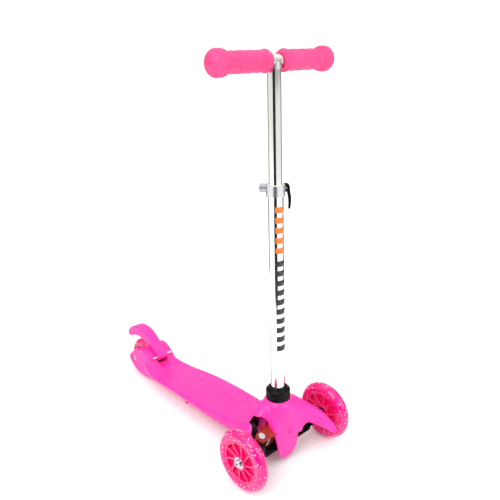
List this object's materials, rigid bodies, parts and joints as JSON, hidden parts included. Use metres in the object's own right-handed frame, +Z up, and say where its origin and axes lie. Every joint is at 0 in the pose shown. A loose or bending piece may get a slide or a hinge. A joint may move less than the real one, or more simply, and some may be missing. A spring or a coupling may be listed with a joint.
{
  "type": "kick scooter",
  "caption": "Child's lean-to-steer kick scooter with a T-bar of adjustable height, a moulded deck, paired front wheels and a foot brake over the rear wheel.",
  "frame": {"origin": "on the floor, at the middle of the whole scooter's outline from above", "axes": "+X forward, +Y to the rider's left, +Z up"},
  "size_m": [0.5983, 0.2916, 0.7788],
  "materials": {
    "pink_pp": "moulded polypropylene, satin",
    "pink_rubber": "moulded thermoplastic rubber, matt",
    "clear_pink_pu": "cast translucent polyurethane with glitter",
    "hub_pink": "moulded nylon, glossy",
    "red_nylon": "glass-filled nylon",
    "black_nylon": "glass-filled nylon",
    "polished_aluminium": "polished tube",
    "zinc_steel": "zinc-plated steel",
    "bearing_steel": "ground steel",
    "white_acetal": "acetal"
  },
  "bodies": {
    "frame": {"base_bolts": "zinc_steel", "brake_pin": "zinc_steel", "brake_spring": "zinc_steel", "centring_springs": "zinc_steel", "clamp_bolt": "zinc_steel", "clamp_nut": "zinc_steel", "clamp_washers": "zinc_steel", "deck": "pink_pp", "front_cowl": "pink_pp", "kingpins": "zinc_steel", "lower_tube": "polished_aluminium", "rear_axle_bolt": "zinc_steel", "rear_axle_nut": "zinc_steel", "rear_axle_washers": "zinc_steel", "steering_base": "red_nylon", "stem_collar": "black_nylon", "tube_clamp": "zinc_steel", "tube_liner": "white_acetal"},
    "left_wheel": {"left_wheel_tyre": "clear_pink_pu", "left_wheel_hub": "hub_pink", "left_wheel_bearings": "bearing_steel", "left_wheel_spacer": "zinc_steel"},
    "right_wheel": {"right_wheel_tyre": "clear_pink_pu", "right_wheel_hub": "hub_pink", "right_wheel_bearings": "bearing_steel", "right_wheel_spacer": "zinc_steel"},
    "rear_wheel": {"rear_wheel_tyre": "clear_pink_pu", "rear_wheel_hub": "hub_pink", "rear_wheel_bearings": "bearing_steel", "rear_wheel_spacer": "zinc_steel"},
    "left_knuckle": {"left_knuckle": "black_nylon", "left_axle_bolt": "zinc_steel"},
    "right_knuckle": {"right_knuckle": "black_nylon", "right_axle_bolt": "zinc_steel"},
    "steering_link": {"steering_link": "black_nylon"},
    "brake": {"brake_fender": "pink_pp"},
    "clamp_lever": {"clamp_lever": "black_nylon"},
    "handlebar": {"upper_tube": "polished_aluminium", "tube_guide": "white_acetal", "crossbar": "polished_aluminium", "crossbar_weld": "polished_aluminium", "left_grip": "pink_rubber", "right_grip": "pink_rubber"}
  },
  "joints": [
    {"name": "steer_left", "type": "hinge", "parent": "frame", "child": "left_knuckle", "pos_m": [0.223, 0.064, 0.06], "axis": [0.4226, 0, 0.9063], "range_deg": [-15, 15], "stiffness_Nm_per_rad": 6},
    {"name": "steer_right", "type": "hinge", "parent": "frame", "child": "right_knuckle", "pos_m": [0.223, -0.064, 0.06], "axis": [0.4226, 0, 0.9063], "range_deg": [-15, 15], "stiffness_Nm_per_rad": 6},
    {"name": "link_slide", "type": "slide", "parent": "frame", "child": "steering_link", "axis": [0, 1, 0], "range_m": [-0.0056, 0.0056]},
    {"name": "left_wheel_spin", "type": "hinge", "parent": "left_knuckle", "child": "left_wheel", "pos_m": [0.239, 0.11575, 0.06], "axis": [0, 1, 0], "continuous": true},
    {"name": "right_wheel_spin", "type": "hinge", "parent": "right_knuckle", "child": "right_wheel", "pos_m": [0.239, -0.11575, 0.06], "axis": [0, 1, 0], "continuous": true},
    {"name": "rear_wheel_spin", "type": "hinge", "parent": "frame", "child": "rear_wheel", "pos_m": [-0.247, 0, 0.04], "axis": [0, 1, 0], "continuous": true},
    {"name": "brake_press", "type": "hinge", "parent": "frame", "child": "brake", "pos_m": [-0.174, 0, 0.064], "axis": [0, -1, 0], "range_deg": [0, 6], "stiffness_Nm_per_rad": 0.6},
    {"name": "bar_height", "type": "slide", "parent": "frame", "child": "handlebar", "axis": [-0.0366, 0, 0.9993], "range_m": [-0.18, 0]},
    {"name": "clamp_lever_turn", "type": "hinge", "parent": "frame", "child": "clamp_lever", "pos_m": [0.19629, 0.02979, 0.54188], "axis": [0.7189, -0.6947, 0.0264], "range_deg": [0, 140]}
  ],
  "couplings": [
    {"joint": "steer_right", "follows": "steer_left", "ratio": 1},
    {"joint": "link_slide", "follows": "steer_left", "m_per_rad": 0.02}
  ]
}
